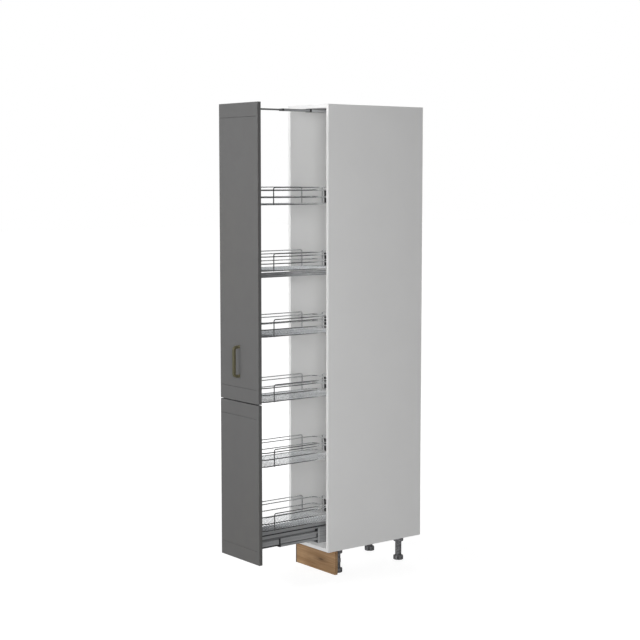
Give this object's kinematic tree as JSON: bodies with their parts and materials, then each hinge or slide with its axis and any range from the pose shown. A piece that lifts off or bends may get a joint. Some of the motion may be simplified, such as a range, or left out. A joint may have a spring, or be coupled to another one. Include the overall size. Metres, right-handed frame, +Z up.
{
  "type": "pull-out pantry cabinet",
  "caption": "Tall narrow pantry cabinet on levelling legs, with grey fronts on a frame of wire baskets that rolls out on a telescopic runner.",
  "frame": {"origin": "on the floor, under the middle of the box that holds the pulled-out cabinet", "axes": "+Z up; -Y is the way the pull-out comes out; +X to the right of a person facing the fronts"},
  "size_m": [0.3, 0.9828, 2.152],
  "materials": {
    "carcass_white": "satin",
    "back_board": "matte",
    "beech": "matte",
    "zinc_steel": "satin",
    "oak": "satin",
    "leg_plastic": "matte",
    "runner_steel": "satin",
    "black_plastic": "matte",
    "front_grey": "satin",
    "bronze": "satin",
    "clear_rubber": "satin",
    "chrome_wire": "polished"
  },
  "bodies": {
    "carcass": {"side_panel_left": "carcass_white", "side_panel_right": "carcass_white", "top_panel": "carcass_white", "bottom_panel": "carcass_white", "back_panel": "back_board", "carcass_dowels": "beech", "wall_brackets": "zinc_steel", "plinth_board": "oak", "plinth_clips": "leg_plastic", "leg_sockets": "leg_plastic", "leg_tubes": "leg_plastic", "runner_housing": "runner_steel", "runner_guide_blocks": "black_plastic", "roller_axle": "zinc_steel", "top_rail_fixed": "runner_steel", "top_rail_collar": "black_plastic"},
    "pull_out": {"upper_front": "front_grey", "lower_front": "front_grey", "front_buffers": "clear_rubber", "handle": "bronze", "handle_screws": "zinc_steel", "front_brackets": "zinc_steel", "front_post": "runner_steel", "rear_post": "runner_steel", "bottom_beam": "runner_steel", "middle_bar": "runner_steel", "top_rail_inner": "runner_steel", "runner_inner": "runner_steel", "runner_inner_shoe": "black_plastic", "beam_spacers": "black_plastic", "basket_carriers": "black_plastic"},
    "runner_middle_stage": {"runner_middle": "runner_steel", "runner_middle_collar": "black_plastic", "runner_middle_shoe": "black_plastic"},
    "top_middle_stage": {"top_rail_middle": "runner_steel", "top_middle_collar": "black_plastic"},
    "roller": {"support_roller": "black_plastic"},
    "basket_1": {"basket_1": "chrome_wire"},
    "basket_2": {"basket_2": "chrome_wire"},
    "basket_3": {"basket_3": "chrome_wire"},
    "basket_4": {"basket_4": "chrome_wire"},
    "basket_5": {"basket_5": "chrome_wire"},
    "basket_6": {"basket_6": "chrome_wire"},
    "foot_front_left": {"foot_front_left": "leg_plastic"},
    "foot_front_right": {"foot_front_right": "leg_plastic"},
    "foot_rear_left": {"foot_rear_left": "leg_plastic"},
    "foot_rear_right": {"foot_rear_right": "leg_plastic"}
  },
  "joints": [
    {"name": "pull_out_slide", "type": "slide", "parent": "carcass", "child": "pull_out", "axis": [0, -1, 0], "range_m": [-0.3668, 0.1]},
    {"name": "runner_middle_slide", "type": "slide", "parent": "carcass", "child": "runner_middle_stage", "axis": [0, -1, 0], "range_m": [-0.1834, 0.05]},
    {"name": "top_middle_slide", "type": "slide", "parent": "carcass", "child": "top_middle_stage", "axis": [0, -1, 0], "range_m": [-0.1834, 0.05]},
    {"name": "roller_turn", "type": "hinge", "parent": "carcass", "child": "roller", "pos_m": [0, -0.0346, 0.1365], "axis": [1, 0, 0], "range_deg": [-1800, 1800]},
    {"name": "basket_1_lift", "type": "slide", "parent": "pull_out", "child": "basket_1", "axis": [0, 0, 1], "range_m": [0, 0.015]},
    {"name": "basket_2_lift", "type": "slide", "parent": "pull_out", "child": "basket_2", "axis": [0, 0, 1], "range_m": [0, 0.015]},
    {"name": "basket_3_lift", "type": "slide", "parent": "pull_out", "child": "basket_3", "axis": [0, 0, 1], "range_m": [0, 0.015]},
    {"name": "basket_4_lift", "type": "slide", "parent": "pull_out", "child": "basket_4", "axis": [0, 0, 1], "range_m": [0, 0.015]},
    {"name": "basket_5_lift", "type": "slide", "parent": "pull_out", "child": "basket_5", "axis": [0, 0, 1], "range_m": [0, 0.015]},
    {"name": "basket_6_lift", "type": "slide", "parent": "pull_out", "child": "basket_6", "axis": [0, 0, 1], "range_m": [0, 0.015]},
    {"name": "foot_front_left_turn", "type": "hinge", "parent": "carcass", "child": "foot_front_left", "pos_m": [-0.108, 0.0144, 0], "axis": [0, 0, 1], "continuous": true},
    {"name": "foot_front_right_turn", "type": "hinge", "parent": "carcass", "child": "foot_front_right", "pos_m": [0.108, 0.0144, 0], "axis": [0, 0, 1], "continuous": true},
    {"name": "foot_rear_left_turn", "type": "hinge", "parent": "carcass", "child": "foot_rear_left", "pos_m": [-0.108, 0.3894, 0], "axis": [0, 0, 1], "continuous": true},
    {"name": "foot_rear_right_turn", "type": "hinge", "parent": "carcass", "child": "foot_rear_right", "pos_m": [0.108, 0.3894, 0], "axis": [0, 0, 1], "continuous": true}
  ],
  "couplings": [
    {"joint": "runner_middle_slide", "follows": "pull_out_slide", "ratio": 0.5},
    {"joint": "top_middle_slide", "follows": "pull_out_slide", "ratio": 0.5},
    {"joint": "roller_turn", "follows": "pull_out_slide", "rad_per_m": 80.645}
  ]
}
